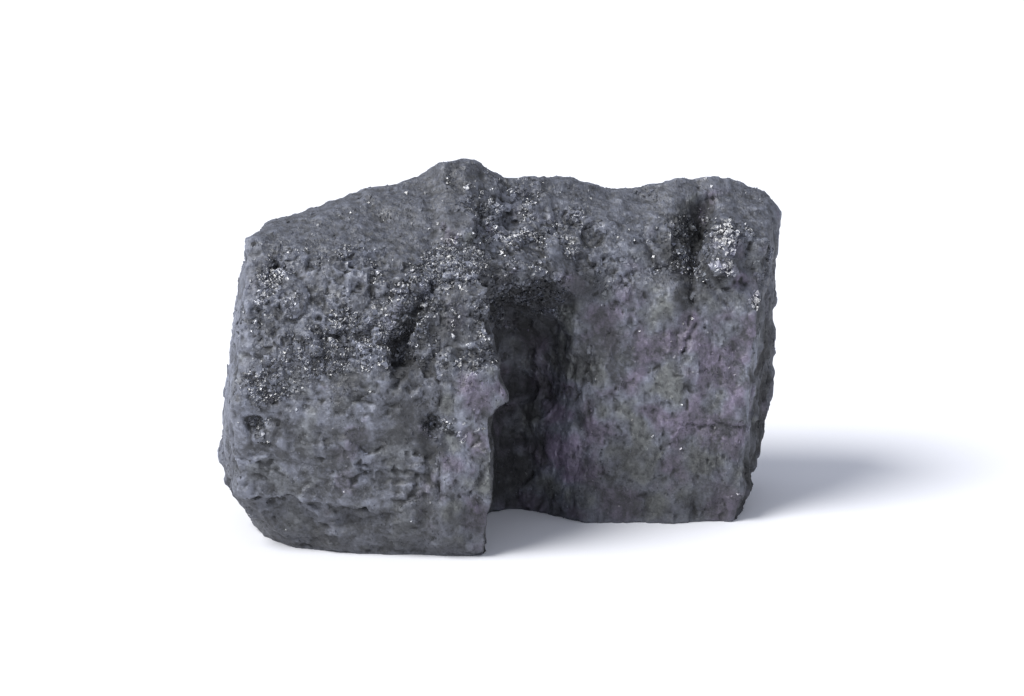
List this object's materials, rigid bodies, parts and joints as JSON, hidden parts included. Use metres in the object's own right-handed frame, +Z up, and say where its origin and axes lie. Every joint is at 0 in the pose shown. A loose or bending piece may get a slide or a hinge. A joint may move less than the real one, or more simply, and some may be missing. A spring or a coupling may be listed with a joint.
{
  "type": "lump charcoal",
  "caption": "Lump of hardwood charcoal: a split, upright-grained billet with a stepped front, a dark recess, a sloping broken top and a blunt knob.",
  "frame": {"origin": "centre of the bounding box, at the flat base it rests on", "axes": "+Z up along the wood's fibres, +X along the lump's longest extent, the broad stepped front towards -Y"},
  "size_m": [0.0901, 0.0533, 0.0571],
  "materials": {
    "charcoal": "matte blue-black char with small glossy facets"
  },
  "bodies": {
    "root": {"charcoal_lump": "charcoal"}
  },
  "joints": []
}
